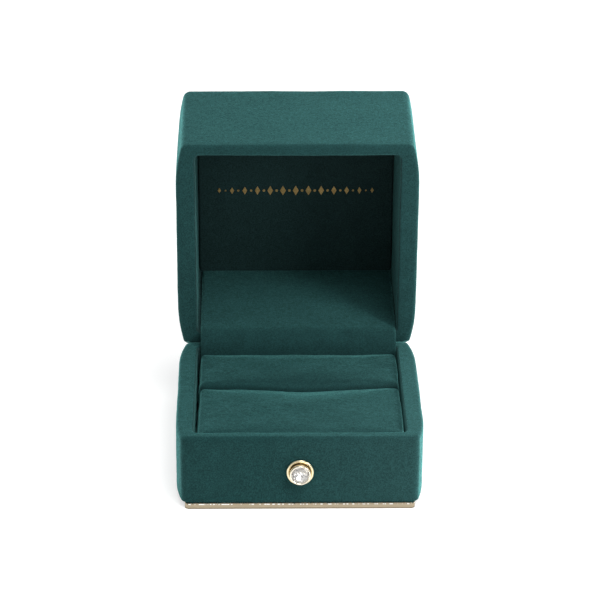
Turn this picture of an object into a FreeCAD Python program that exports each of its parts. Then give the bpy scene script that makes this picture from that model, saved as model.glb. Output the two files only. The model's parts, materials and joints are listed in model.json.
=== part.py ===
import FreeCAD, Part
import math
import os
from collections import namedtuple

# Velvet-covered ring box with a spring-hinged lid, modelled with the lid standing open.
# Millimetres, +Z up, front towards -Y, hinge along X at the rear.
# The origin is the centre of the underside of the metal base plate.

V = FreeCAD.Vector
X_AXIS = V(1, 0, 0)
Y_AXIS = V(0, 1, 0)
Z_AXIS = V(0, 0, 1)

# --- driving dimensions -------------------------------------------------------------

DEPTH = 60.8               # front face to rear face over the velvet
HALF_W = 32.1              # half width over the straight run of the sides
END_HALF_W = 30.3          # half width of the front and rear faces
FLAT_RUN = 18.0            # the side is straight for this far each way from the middle
CORNER_R = 2.4             # upright corner rounding

PLATE_T = 1.6              # metal base plate
PLATE_HALF_W = 29.6
PLATE_LIP = 0.25           # the plate stands proud of the front and rear by this
PLATE_CORNER_R = 1.2
HINGE_Z = 20.2             # height of the hinge axis, midway between the two rims
RIM_GAP = 0.2              # air between the rims when shut
LID_H = 37.4               # lid rim to lid top
BASE_H = HINGE_Z - RIM_GAP / 2 - PLATE_T
OPEN_ANGLE = 84.0          # the lid stands this far open at its stop

VELVET_T = 0.8
FRONT_WALL = 3.6
REAR_WALL = 4.3
CAVITY_HALF_W = 26.8
CAVITY_R = 1.2
RIM_OUT_R = 1.2
RIM_IN_R = 1.0
FOOT_R = 0.5               # lower edge of the base velvet
LID_TOP_R = 4.0            # rounding round the lid's top face
FLOOR_T = 2.0              # floor of the moulded base
LID_ROOF_T = 1.5           # roof of the moulded lid

AXIS_INSET = 1.3           # hinge axis in front of the rear face
KNUCKLE_R = 1.05
PIN_R = 0.5
PIN_FIT = 0.05
HINGE_HALF = 16.0
KNUCKLE_SPLIT = 10.0       # outer knuckles belong to the base, inner ones to the lid
SPRING_HALF = 4.0
KNUCKLE_GAP = 0.1
LEAF_T = 0.5
LEAF_LEN = 8.0
GROOVE_R = 1.3
BEVEL_DEG = 48.0           # rear rim bevel, so that the walls clear each other when open
RIVET_X = (-12.0, 0.0, 12.0)
RIVET_R = 0.6
RIVET_HEAD_R = 1.1
RIVET_HEAD_T = 0.35
RIVET_DROP = 5.0           # rivet line below the rim

BOARD_T = 1.2
PAD_TOP = 18.8
PAD_ROUND = 2.0
PAD_SIDE_GAP = 0.4
SLOT_Y = 4.0
SLOT_W = 1.0
FLAP_T = 0.8
FLAP_HALF_W = 25.4
FLAP_DROP = 9.0            # how far the hinge flap reaches down behind the pad
ROOF_CARD_T = 0.6
ROOF_VELVET_T = 0.7

STUD_Z = 10.5
FLANGE_R = 3.5
FLANGE_H = 0.85
FLANGE_FLOOR = 0.3
BEZEL_R = 2.7
BEZEL_H = 2.45
POST_R = 1.0
STONE_R = 2.25
STONE_TABLE_R = 1.25
STONE_CROWN = 0.75
STONE_GIRDLE = 0.12
STONE_PAVILION = 1.1
STONE_SIDES = 16
WASHER_R = 2.6
WASHER_T = 0.5

FOIL_T = 0.08
FOIL_HALF_W = 21.5

# --- places worked out from them ----------------------------------------------------

FRONT_Y = -DEPTH / 2
REAR_Y = DEPTH / 2
AXIS_Y = REAR_Y - AXIS_INSET
BASE_RIM_Z = HINGE_Z - RIM_GAP / 2
CAVITY_FRONT = FRONT_Y + FRONT_WALL
CAVITY_REAR = REAR_Y - REAR_WALL
LEAF_REAR = AXIS_Y - KNUCKLE_R + LEAF_T
FLOOR_Z = PLATE_T + FLOOR_T
BOARD_TOP = FLOOR_Z + BOARD_T + 0.05
LID_CAVITY_H = LID_H - VELVET_T - LID_ROOF_T

# One half of the box, built rim up with its rim at z = 0: end_r rounds its closed end,
# and end_skin is the velvet over that end.
Half = namedtuple("Half", "height end_r end_skin cavity_depth")
BASE = Half(BASE_H, FOOT_R, 0.0, BASE_H - FLOOR_T)
LID = Half(LID_H, LID_TOP_R, VELVET_T, LID_CAVITY_H)


# --- helpers ------------------------------------------------------------------------

def block(x0, x1, y0, y1, z0, z1):
    return Part.makeBox(x1 - x0, y1 - y0, z1 - z0, V(x0, y0, z0))


def rod(radius, start, end):
    run = end - start
    return Part.makeCylinder(radius, run.Length, start, run)


def edges_where(shape, test):
    return [edge for edge in shape.Edges if all(test(v.Point) for v in edge.Vertexes)]


def turned(profile, origin):
    """A solid of revolution about the stud's axis: profile holds (radius, distance
    towards the front) pairs, and origin is the point that they are counted from."""
    points = [origin + V(r, -out, 0) for r, out in profile]
    face = Part.Face(Part.makePolygon(points + points[:1]))
    return face.revolve(origin, Y_AXIS, 360)


def tangent_arc(start, heading, end):
    """The arc that leaves start along heading and reaches end."""
    chord = end - start
    inward = chord - heading * chord.dot(heading)
    inward.normalize()
    radius = chord.Length ** 2 / (2 * chord.dot(inward))
    centre = start + inward * radius
    middle = (start - centre) + (end - centre)
    middle.normalize()
    return Part.Arc(start, centre + middle * radius, end).toShape()


def plan_face(inset):
    """The box's outline from above: flat front and rear, sides that curve in at both ends."""
    edges = []
    for side in (1, -1):
        front = V(side * END_HALF_W, FRONT_Y, 0)
        flat_front = V(side * HALF_W, -FLAT_RUN, 0)
        flat_rear = V(side * HALF_W, FLAT_RUN, 0)
        rear = V(side * END_HALF_W, REAR_Y, 0)
        edges.append(tangent_arc(flat_front, -Y_AXIS, front))
        edges.append(Part.makeLine(flat_rear, flat_front))
        edges.append(tangent_arc(flat_rear, Y_AXIS, rear))
    for y in (FRONT_Y, REAR_Y):
        edges.append(Part.makeLine(V(-END_HALF_W, y, 0), V(END_HALF_W, y, 0)))
    wire = Part.Wire(Part.__sortEdges__(edges))
    if inset:
        wire = wire.makeOffset2D(-inset, 2)
    return Part.Face(wire)


def half_form(height, inset, end_r):
    """A closed block of half the box, rim at z = 0 and closed end at z = -height."""
    face = plan_face(inset)
    form = face.extrude(V(0, 0, -height))
    near_corner = (END_HALF_W + HALF_W) / 2
    upright = [edge for edge in form.Edges
               if abs(edge.tangentAt(edge.FirstParameter).z) > 0.9
               and abs(edge.CenterOfMass.x) < near_corner
               and abs(edge.CenterOfMass.y) > FLAT_RUN + 1]
    form = form.makeFillet(CORNER_R - inset, upright)
    if end_r > 0:
        form = form.makeFillet(end_r, edges_where(form, lambda p: p.z < -height + 1e-4))
    return form


def hollow(grow, depth):
    """The space inside one half, from its rim down."""
    well = block(-CAVITY_HALF_W - grow, CAVITY_HALF_W + grow,
                 CAVITY_FRONT - grow, CAVITY_REAR + grow, -depth, 1)
    upright = edges_where(well, lambda p: True)
    upright = [edge for edge in upright if edge.BoundBox.ZLength > 0.5]
    return well.makeFillet(CAVITY_R + grow, upright)


def rounded_rim(shape):
    """Roll the velvet over both edges of the rim."""
    def on_rim(point):
        return abs(point.z) < 1e-4

    def inside(edge):
        box = edge.BoundBox
        return (max(abs(box.XMin), abs(box.XMax)) < CAVITY_HALF_W + 0.1
                and box.YMin > CAVITY_FRONT - 0.1 and box.YMax < CAVITY_REAR + 0.1)

    shape = shape.makeFillet(RIM_OUT_R, [e for e in edges_where(shape, on_rim) if not inside(e)])
    return shape.makeFillet(RIM_IN_R, [e for e in edges_where(shape, on_rim) if inside(e)])


def hinge_relief():
    """What both halves leave out for the hinge: the barrel's groove and the leaf's slot."""
    axis_z = RIM_GAP / 2
    reach = HINGE_HALF + 0.2
    groove = rod(GROOVE_R, V(-reach, AXIS_Y, axis_z), V(reach, AXIS_Y, axis_z))
    slot = block(-reach, reach, LEAF_REAR - LEAF_T - 0.05, LEAF_REAR + 0.05, -LEAF_LEN - 0.3, 1)
    return groove.fuse(slot)


def rear_bevel():
    """The wedge cut off the rear of both rims."""
    axis_z = RIM_GAP / 2
    reach = AXIS_INSET + 3
    drop = reach * math.tan(math.radians(BEVEL_DEG))
    half = HALF_W + 5
    corners = [V(-half, AXIS_Y, axis_z), V(-half, AXIS_Y + reach, axis_z),
               V(-half, AXIS_Y + reach, axis_z - drop)]
    return Part.Face(Part.makePolygon(corners + corners[:1])).extrude(V(2 * half, 0, 0))


def rivets_in_half(grow):
    """Short rivets that pin a hinge leaf in the wall, heads inwards."""
    solids = []
    start_y = CAVITY_REAR + VELVET_T
    for x in RIVET_X:
        start = V(x, start_y, -RIVET_DROP)
        head = rod(RIVET_HEAD_R + grow, start, start + Y_AXIS * (RIVET_HEAD_T + grow))
        shank = rod(RIVET_R + grow, start, V(x, LEAF_REAR + 0.4 + grow, -RIVET_DROP))
        solids.append(head.fuse(shank).removeSplitter())
    return solids


def rivet_holes(shape, start_y):
    for x in RIVET_X:
        shape = shape.cut(rod(RIVET_R + 0.05, V(x, start_y, -RIVET_DROP),
                              V(x, LEAF_REAR + 0.5, -RIVET_DROP)))
    return shape


def core_block(half):
    """The space that a half's plastic shell takes, without its small holes."""
    end_r = max(half.end_r - VELVET_T, 0)
    core = half_form(half.height - VELVET_T - half.end_skin, VELVET_T, end_r)
    core.translate(V(0, 0, -VELVET_T))
    return core.cut(hollow(VELVET_T, half.cavity_depth))


def half_core(half):
    """The moulded plastic shell of one half."""
    core = core_block(half).cut(hinge_relief())
    for rivet in rivets_in_half(0.05):
        core = core.cut(rivet)
    return core


def half_velvet(half):
    """The velvet wrap of one half: outside walls, rim and inside walls in one piece."""
    wrap = rounded_rim(half_form(half.height, 0, half.end_r).cut(hollow(0, half.cavity_depth)))
    wrap = wrap.cut(core_block(half))
    wrap = wrap.cut(rear_bevel())
    return wrap.cut(hinge_relief())


def in_base(shape):
    shape.translate(V(0, 0, BASE_RIM_Z))
    return shape


def open_lid(shape):
    """Turn a lid part from its shut place to its stop."""
    shape.rotate(V(0, AXIS_Y, HINGE_Z), X_AXIS, -OPEN_ANGLE)
    return shape


def in_lid(shape):
    """A part built rim up becomes a lid part: rim down, then swung open."""
    shape = shape.mirror(V(0, 0, 0), Z_AXIS)
    shape.translate(V(0, 0, HINGE_Z + RIM_GAP / 2))
    return open_lid(shape)


# --- base ---------------------------------------------------------------------------

def base_plate():
    """Gilt metal plate under the box, flush at the sides and proud at front and rear."""
    half_d = REAR_Y + PLATE_LIP
    plate = block(-PLATE_HALF_W, PLATE_HALF_W, -half_d, half_d, 0, PLATE_T)
    upright = [e for e in plate.Edges if e.BoundBox.ZLength > PLATE_T / 2]
    plate = plate.makeFillet(PLATE_CORNER_R, upright)
    return plate.makeFillet(0.2, edges_where(plate, lambda p: p.z > PLATE_T - 1e-4))


def stud_hole(radius, y0, y1):
    return rod(radius, V(0, y0, STUD_Z), V(0, y1, STUD_Z))


def base_core():
    core = in_base(half_core(BASE))
    core = core.cut(stud_hole(POST_R + 0.1, FRONT_Y, CAVITY_FRONT))
    inner = CAVITY_FRONT - VELVET_T
    return core.cut(stud_hole(WASHER_R + 0.2, inner - 1.0, inner + 0.1))


def base_velvet():
    wrap = in_base(half_velvet(BASE))
    return wrap.cut(stud_hole(POST_R + 0.3, FRONT_Y - 1, FRONT_Y + 1.5))


def pad_board():
    gap = PAD_SIDE_GAP
    return block(-CAVITY_HALF_W + gap, CAVITY_HALF_W - gap, CAVITY_FRONT + gap, pad_limits()[1][1],
                 FLOOR_Z, FLOOR_Z + BOARD_T)


def pad_limits():
    """Front and rear ends of the two pads, with the ring slot between them."""
    front = (CAVITY_FRONT + PAD_SIDE_GAP, SLOT_Y - SLOT_W / 2)
    rear = (SLOT_Y + SLOT_W / 2, CAVITY_REAR - FLAP_T - PAD_SIDE_GAP)
    return front, rear


def pad_form(ends, inset):
    half = CAVITY_HALF_W - PAD_SIDE_GAP - inset
    form = block(-half, half, ends[0] + inset, ends[1] - inset, BOARD_TOP, PAD_TOP - inset)
    upright = [e for e in form.Edges if e.BoundBox.ZLength > 1]
    form = form.makeFillet(PAD_ROUND - inset, upright)
    return form.makeFillet(PAD_ROUND - inset - 0.1,
                           edges_where(form, lambda p: p.z > PAD_TOP - inset - 1e-4))


def pad_foam(ends):
    return pad_form(ends, VELVET_T)


def pad_cover(ends):
    return pad_form(ends, 0).cut(pad_form(ends, VELVET_T))


def flap_strip(length):
    """The hinge flap on one half's rear wall, from just inside the rim."""
    return block(-FLAP_HALF_W, FLAP_HALF_W, CAVITY_REAR - FLAP_T - 0.1, CAVITY_REAR - 0.1,
                 -length, -0.3)


# --- stud ---------------------------------------------------------------------------

def stud_origin():
    return V(0, FRONT_Y, STUD_Z)


def stud_flange():
    """Dished ring with a rolled outer edge."""
    profile = [(POST_R + 0.1, 0), (FLANGE_R - 0.25, 0), (FLANGE_R, 0.25), (FLANGE_R, FLANGE_H - 0.3),
               (FLANGE_R - 0.12, FLANGE_H - 0.08), (FLANGE_R - 0.32, FLANGE_H),
               (FLANGE_R - 0.5, FLANGE_H - 0.12), (BEZEL_R + 0.22, FLANGE_FLOOR),
               (POST_R + 0.1, FLANGE_FLOOR)]
    return turned(profile, stud_origin())


def stud_bezel():
    """Cup for the stone, with the post that goes through the wall in one piece with it."""
    seat = BEZEL_H - STONE_CROWN - STONE_GIRDLE + 0.25
    bottom = seat - STONE_PAVILION - 0.1
    inner = STONE_R + 0.03
    tail = -(FRONT_WALL - VELVET_T - 0.35)
    profile = [(0, tail), (POST_R, tail), (POST_R, FLANGE_FLOOR), (BEZEL_R - 0.2, FLANGE_FLOOR),
               (BEZEL_R, FLANGE_FLOOR + 0.3), (BEZEL_R, BEZEL_H - 0.25), (BEZEL_R - 0.15, BEZEL_H),
               (inner, BEZEL_H - 0.1), (inner, seat), (0.2, bottom), (0, bottom)]
    return turned(profile, stud_origin())


def ring_of_points(radius, out, turn):
    step = 2 * math.pi / STONE_SIDES
    centre = stud_origin() - Y_AXIS * out
    return [centre + V(radius * math.cos(step * (i + turn)), 0, radius * math.sin(step * (i + turn)))
            for i in range(STONE_SIDES)]


def stud_crystal():
    """Round stone: flat table, faceted crown, thin girdle and faceted pavilion."""
    table_out = BEZEL_H + 0.25
    girdle_top = table_out - STONE_CROWN
    girdle_low = girdle_top - STONE_GIRDLE
    levels = [ring_of_points(STONE_TABLE_R, table_out, 0.5), ring_of_points(STONE_R, girdle_top, 0),
              ring_of_points(STONE_R, girdle_low, 0)]
    culet = stud_origin() - Y_AXIS * (girdle_low - STONE_PAVILION)
    faces = [Part.Face(Part.makePolygon(levels[0] + levels[0][:1]))]
    for i in range(STONE_SIDES):
        j = (i + 1) % STONE_SIDES
        faces.append(triangle(levels[0][i], levels[1][i], levels[1][j]))
        faces.append(triangle(levels[0][i], levels[1][j], levels[0][j]))
        faces.append(Part.Face(Part.makePolygon([levels[1][i], levels[2][i], levels[2][j],
                                                 levels[1][j], levels[1][i]])))
        faces.append(triangle(levels[2][i], culet, levels[2][j]))
    solid = Part.Solid(Part.makeShell(faces))
    if solid.Volume < 0:
        solid.reverse()
    return solid


def triangle(a, b, c):
    return Part.Face(Part.makePolygon([a, b, c, a]))


def stud_washer():
    """Push-on washer that holds the post inside the wall."""
    front = CAVITY_FRONT - VELVET_T - 0.9
    start = V(0, front, STUD_Z)
    disc = rod(WASHER_R, start, start + Y_AXIS * WASHER_T)
    disc = disc.cut(rod(POST_R + 0.03, start, start + Y_AXIS * WASHER_T))
    for i in range(6):
        notch = block(-0.2, 0.2, front, front + WASHER_T, STUD_Z + POST_R, STUD_Z + POST_R + 0.8)
        notch.rotate(start, Y_AXIS, 60 * i)
        disc = disc.cut(notch)
    return disc


# --- hinge --------------------------------------------------------------------------

def knuckle(x0, x1):
    barrel = rod(KNUCKLE_R, V(x0, AXIS_Y, 0), V(x1, AXIS_Y, 0))
    tab = block(x0, x1, LEAF_REAR - LEAF_T, LEAF_REAR, -GROOVE_R - 0.3, 0)
    return barrel.fuse(tab)


def hinge_leaf(spans):
    """Steel leaf with its knuckles, hinge axis at z = 0 and leaf pointing down."""
    leaf = block(-HINGE_HALF, HINGE_HALF, LEAF_REAR - LEAF_T, LEAF_REAR, -LEAF_LEN, -GROOVE_R - 0.1)
    for x0, x1 in spans:
        leaf = leaf.fuse(knuckle(x0, x1))
    bore = PIN_R + PIN_FIT
    leaf = leaf.cut(rod(bore, V(-HINGE_HALF - 1, AXIS_Y, 0), V(HINGE_HALF + 1, AXIS_Y, 0)))
    return leaf.removeSplitter()


def leaf_in_half(spans):
    """The leaf in the half's own frame, whose rim is half the gap under the axis."""
    leaf = hinge_leaf(spans)
    leaf.translate(V(0, 0, RIM_GAP / 2))
    return rivet_holes(leaf, CAVITY_REAR)


def base_spans():
    return [(-HINGE_HALF, -KNUCKLE_SPLIT - KNUCKLE_GAP / 2), (KNUCKLE_SPLIT + KNUCKLE_GAP / 2, HINGE_HALF)]


def lid_spans():
    inner = SPRING_HALF + KNUCKLE_GAP
    outer = KNUCKLE_SPLIT - KNUCKLE_GAP / 2
    return [(-outer, -inner), (inner, outer)]


def hinge_pin():
    return rod(PIN_R, V(-HINGE_HALF, AXIS_Y, HINGE_Z), V(HINGE_HALF, AXIS_Y, HINGE_Z))


def hinge_spring():
    """Close-wound torsion spring round the pin, with its base leg along the leaf."""
    wire = 0.3
    inner = PIN_R + 0.12
    coils = int(2 * (SPRING_HALF - 0.1) / wire)
    start = V(-coils * wire / 2, AXIS_Y, HINGE_Z)
    edges = []
    for i in range(coils):
        a = start + V(i * wire, inner + wire / 2, 0)
        edges.append(Part.Arc(a, a + V(wire / 2, wire / 2, 0), a + V(wire, 0, 0)).toShape())
    first = start + V(0, inner + wire / 2, 0)
    last = start + V(coils * wire, inner + wire / 2, 0)
    low_last = start + V(coils * wire, inner, 0)
    low_first = start + V(0, inner, 0)
    edges += [Part.makeLine(last, low_last), Part.makeLine(low_last, low_first),
              Part.makeLine(low_first, first)]
    coil = Part.Face(Part.Wire(edges)).revolve(V(0, AXIS_Y, HINGE_Z), X_AXIS, 360)
    leg_top = V(first.x + wire / 2, AXIS_Y + inner - PIN_R * 2 - 0.4, HINGE_Z - 0.5)
    leg = rod(wire / 2, leg_top, leg_top - Z_AXIS * 0.75)
    return coil.fuse(leg)


# --- lid ----------------------------------------------------------------------------

def lid_core():
    return in_lid(half_core(LID))


def lid_velvet():
    return in_lid(half_velvet(LID))


def roof_sheet(depth, thickness, gap):
    sheet = block(-CAVITY_HALF_W + gap, CAVITY_HALF_W - gap, CAVITY_FRONT + gap, CAVITY_REAR - gap,
                  -depth, -depth + thickness)
    upright = [e for e in sheet.Edges if e.BoundBox.ZLength > thickness / 2]
    return sheet.makeFillet(CAVITY_R - gap, upright)


def lid_roof_card():
    return in_lid(roof_sheet(LID_CAVITY_H, ROOF_CARD_T, 0.3))


def lid_roof_velvet():
    return in_lid(roof_sheet(LID_CAVITY_H - ROOF_CARD_T, ROOF_VELVET_T, 0.2))


def foil_lozenge(x, half_w, half_h):
    points = [V(x - half_w, 0, 0), V(x, -half_h, 0), V(x + half_w, 0, 0), V(x, half_h, 0)]
    return Part.Face(Part.makePolygon(points + points[:1]))


def foil_mark():
    """Plain foil ornament on the lid's lining: a lozenge between two tapering rules and dots."""
    faces = [foil_lozenge(0, 2.4, 1.8)]
    for side in (-1, 1):
        faces.append(foil_lozenge(side * 4.6, 0.8, 0.8))
        faces.append(foil_lozenge(side * 12.0, 5.6, 0.45))
        for i in range(3):
            dot_x = side * (FOIL_HALF_W - 0.4 - 1.3 * i)
            faces.append(Part.Face(Part.Wire(Part.makeCircle(0.22 + 0.1 * i, V(dot_x, 0, 0)))))
    depth = LID_CAVITY_H - ROOF_CARD_T - ROOF_VELVET_T
    middle = (CAVITY_FRONT + CAVITY_REAR) / 2
    solids = []
    for face in faces:
        solid = face.extrude(Z_AXIS * FOIL_T)
        solid.translate(V(0, middle, -depth))
        solids.append(in_lid(solid))
    return Part.makeCompound(solids)


# --- build --------------------------------------------------------------------------

def build():
    front_pad, rear_pad = pad_limits()
    lid_flap_len = LID_CAVITY_H - ROOF_CARD_T - ROOF_VELVET_T - 0.5
    return {
        "base_plate": base_plate(),
        "base_core": base_core(),
        "base_velvet": base_velvet(),
        "pad_board": pad_board(),
        "pad_front_foam": pad_foam(front_pad),
        "pad_front_cover": pad_cover(front_pad),
        "pad_rear_foam": pad_foam(rear_pad),
        "pad_rear_cover": pad_cover(rear_pad),
        "stud_flange": stud_flange(),
        "stud_bezel": stud_bezel(),
        "stud_crystal": stud_crystal(),
        "stud_washer": stud_washer(),
        "hinge_base_leaf": in_base(leaf_in_half(base_spans())),
        "hinge_pin": hinge_pin(),
        "hinge_spring": hinge_spring(),
        "base_hinge_rivets": in_base(Part.makeCompound(rivets_in_half(0))),
        "flap_base": in_base(flap_strip(FLAP_DROP)),
        "lid_core": lid_core(),
        "lid_velvet": lid_velvet(),
        "lid_roof_card": lid_roof_card(),
        "lid_roof_velvet": lid_roof_velvet(),
        "foil_mark": foil_mark(),
        "hinge_lid_leaf": in_lid(leaf_in_half(lid_spans())),
        "lid_hinge_rivets": in_lid(Part.makeCompound(rivets_in_half(0))),
        "flap_lid": in_lid(flap_strip(lid_flap_len)),
    }


os.makedirs("parts", exist_ok=True)
for name, shape in build().items():
    shape.exportStep(f"parts/{name}.step")
    box = shape.BoundBox
    print(f"{name:18s} solids {len(shape.Solids)} valid {shape.isValid()} volume {shape.Volume:9.2f} "
          f"x {box.XMin:6.2f} {box.XMax:6.2f} y {box.YMin:6.2f} {box.YMax:6.2f} "
          f"z {box.ZMin:6.2f} {box.ZMax:6.2f}")
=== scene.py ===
import json
import math

import bmesh
import bpy
import numpy as np
from bpy.props import FloatProperty, FloatVectorProperty, IntProperty, PointerProperty
from bpy.types import Operator, Panel, PropertyGroup
from mathutils import Matrix, Vector, noise

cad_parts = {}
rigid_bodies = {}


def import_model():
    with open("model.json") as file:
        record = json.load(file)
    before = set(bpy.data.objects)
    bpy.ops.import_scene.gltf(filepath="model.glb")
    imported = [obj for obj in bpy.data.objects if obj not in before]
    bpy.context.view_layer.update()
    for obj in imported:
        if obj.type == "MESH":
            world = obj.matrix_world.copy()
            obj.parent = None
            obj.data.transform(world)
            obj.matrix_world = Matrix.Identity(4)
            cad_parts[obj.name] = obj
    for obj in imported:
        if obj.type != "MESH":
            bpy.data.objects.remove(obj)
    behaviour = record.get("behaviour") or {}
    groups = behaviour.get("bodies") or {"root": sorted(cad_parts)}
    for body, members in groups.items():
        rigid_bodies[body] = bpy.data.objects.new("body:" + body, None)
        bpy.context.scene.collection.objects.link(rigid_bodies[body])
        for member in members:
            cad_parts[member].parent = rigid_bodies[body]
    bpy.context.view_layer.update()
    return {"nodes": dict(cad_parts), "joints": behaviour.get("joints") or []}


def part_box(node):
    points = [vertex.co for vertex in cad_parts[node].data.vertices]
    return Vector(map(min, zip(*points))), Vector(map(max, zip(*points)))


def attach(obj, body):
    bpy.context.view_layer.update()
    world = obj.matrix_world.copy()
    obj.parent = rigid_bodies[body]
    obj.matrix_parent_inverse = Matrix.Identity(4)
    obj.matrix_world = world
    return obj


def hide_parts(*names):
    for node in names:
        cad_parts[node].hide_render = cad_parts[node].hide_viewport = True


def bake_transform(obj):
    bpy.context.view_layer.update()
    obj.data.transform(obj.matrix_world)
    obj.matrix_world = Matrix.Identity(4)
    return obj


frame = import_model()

bl_info = {
    "name": "Velvet Ring Box",
    "version": (1, 0, 0),
    "blender": (4, 5, 0),
    "location": "3D View > Sidebar > Ring Box",
    "description": "Builds the looks of a velvet ring box round its packed frame",
    "category": "Add Mesh",
}

MM = 0.001
HINGE = frame["joints"][0]
PIVOT = Vector(HINGE["pos_m"])
OPEN_ANGLE = math.radians(HINGE["range_deg"][1])
BASE_BODY, LID_BODY = HINGE["parent"], HINGE["child"]


# --- the frame in the box's own terms ---------------------------------------------------

def swing(points, angle):
    """Points turned about the hinge pin."""
    pivot = np.array(PIVOT)
    c, s = math.cos(angle), math.sin(angle)
    turn = np.array([[1, 0, 0], [0, c, -s], [0, s, c]])
    return (np.asarray(points, float) - pivot) @ turn.T + pivot


def opened(points):
    """Points of the shut lid, swung to where the frame has them."""
    return swing(points, -OPEN_ANGLE)


def shut_box(node):
    """Lowest and highest corner of a lid node, with the lid shut."""
    points = swing(points_of(frame["nodes"][node].data), OPEN_ANGLE)
    return points.min(0), points.max(0)


def points_of(mesh):
    return np.array([v.co for v in mesh.vertices], float)


def move_points(mesh, points):
    mesh.vertices.foreach_set("co", np.asarray(points).astype(np.float32).ravel())
    mesh.update()


def hex_colour(text):
    """sRGB hex to the linear colour that shaders use."""
    channels = [int(text[i:i + 2], 16) / 255 for i in (0, 2, 4)]
    return [c / 12.92 if c <= 0.04045 else ((c + 0.055) / 1.055) ** 2.4 for c in channels]


# --- what a user may change ---------------------------------------------------------------

def length(name, description, millimetres):
    """A size that a user may change."""
    return FloatProperty(name=name, description=description, default=millimetres * MM,
                         unit="LENGTH", subtype="DISTANCE", precision=4)


def colour(name, description, text):
    """A colour that a user may change."""
    return FloatVectorProperty(name=name, description=description, default=hex_colour(text),
                               subtype="COLOR", size=3, min=0.0, max=1.0)


class RINGBOX_PG_sizes(PropertyGroup):
    """Sizes of the covering, the pads and the trim."""
    half_w: length("Half width", "Half width over the straight run of the sides",
                   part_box("base_velvet")[1].x / MM)
    end_half_w: length("End half width", "Half width of the front and rear faces", 30.3)
    base_spread: length("Base spread", "How much fuller than that the base is covered", -0.15)
    lid_spread: length("Lid spread", "How much fuller than that the lid is covered", 0.25)
    flat_run: length("Flat run", "How far the side runs straight each way from its middle", 18.0)
    corner_r: length("Corner rounding", "Rounding of the upright corners", 2.0)
    corner_keep: length("Kept corner", "Least rounding of the corners towards the lid's top", 1.2)
    front_wall: length("Front wall", "Thickness of the front wall over the velvet", 3.6)
    lid_front_wall: length("Lid front wall", "The same wall in the lid", 3.0)
    rear_wall: length("Rear wall", "Thickness of the rear wall over the velvet", 4.3)
    cavity_half_w: length("Cavity half width", "Half width of the hollow", 27.25)
    cavity_r: length("Cavity corner", "Rounding of the hollow's upright corners", 1.2)
    velvet_t: length("Velvet thickness", "Backing and pile together", 0.8)
    rim_out_r: length("Outer rim roll", "Roll of the velvet over the rim's outer edge", 1.2)
    rim_in_r: length("Inner rim roll", "Roll of the velvet over the rim's inner edge", 0.8)
    foot_r: length("Foot rounding", "Rounding of the base velvet's lower edge", 0.5)
    lid_top_r: length("Lid top rounding", "Rounding round the lid's top face", 4.0)
    groove_r: length("Hinge groove", "Radius left clear round the hinge barrel", 1.3)
    slot_dip: length("Finger dip", "How far the pads dip in the middle of the ring slot", 0.9)
    pad_offset: length("Pad offset", "How far pads and flap sit to the right of the middle", 0.35)
    foil_half_w: length("Foil half width", "Half the length of the foil ornament", 21.3)
    foil_count: IntProperty(name="Foil motifs", description="Lozenges and dots together", default=25)


class RINGBOX_PG_colours(PropertyGroup):
    """Colours of the finishes."""
    velvet: colour("Velvet", "Dyed pile of the covering", "264747")
    lid_velvet: colour("Lid velvet", "The same dye lot on the lid and the flap", "214343")
    pad_velvet: colour("Pad velvet", "Dyed pile of the ring pads", "203F3F")
    # the inside's velvet: the covering's with less sheen, which is painted shade inside the hollows
    lining_velvet: colour("Lining velvet", "Shorter pile inside the box", "2C4242")
    gilt_satin: colour("Satin gilt", "Base plate", "AFA088")
    gilt_bright: colour("Bright gilt", "Stud ring", "F4E4C0")
    gilt_pale: colour("Pale gilt", "Cup of the stud", "F6EDDA")
    foil: colour("Foil", "Hot-stamped ornament", "C8A66C")
    steel: colour("Hinge steel", "Rolled strip", "A3A4A2")
    plastic: colour("Moulded shell", "Plastic under the velvet", "1C2423")
    board: colour("Greyboard", "Board under the pads and lining", "8A857B")


# --- mesh helpers --------------------------------------------------------------------------

def link(mesh, name):
    """A new object of the scene."""
    piece = bpy.data.objects.new(name, mesh)
    bpy.context.scene.collection.objects.link(piece)
    return piece


def tidy_mesh(mesh, smooth=True):
    """Weld, turn the faces outwards and shade."""
    bm = bmesh.new()
    bm.from_mesh(mesh)
    bmesh.ops.remove_doubles(bm, verts=bm.verts, dist=1e-7)
    bmesh.ops.recalc_face_normals(bm, faces=bm.faces)
    bm.to_mesh(mesh)
    bm.free()
    mesh.polygons.foreach_set("use_smooth", [smooth] * len(mesh.polygons))
    mesh.update()
    return mesh


def ring_mesh(name, rings, start_pole=None, end_pole=None, looped=False, lined=(0, 0)):
    """Skin a list of rings of equal count. A pole closes an end; looped joins last to first.
    The rings from lined[0] to lined[1] get the second material."""
    count = len(rings[0])
    verts = [tuple(p) for ring in rings for p in ring]
    faces = []
    pairs = [(j, j + 1) for j in range(len(rings) - 1)]
    if looped:
        pairs.append((len(rings) - 1, 0))
    for a, b in pairs:
        for i in range(count):
            k = (i + 1) % count
            faces.append((a * count + i, a * count + k, b * count + k, b * count + i))
    for pole, ring, flip in ((start_pole, 0, True), (end_pole, len(rings) - 1, False)):
        if pole is None:
            continue
        verts.append(tuple(pole))
        tip = len(verts) - 1
        for i in range(count):
            k = (i + 1) % count
            edge = (ring * count + i, ring * count + k)
            faces.append((edge[1], edge[0], tip) if flip else (edge[0], edge[1], tip))
    mesh = bpy.data.meshes.new(name)
    mesh.from_pydata(verts, [], faces)
    for polygon in mesh.polygons[lined[0] * count:lined[1] * count]:
        polygon.material_index = 1
    return tidy_mesh(mesh)


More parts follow.
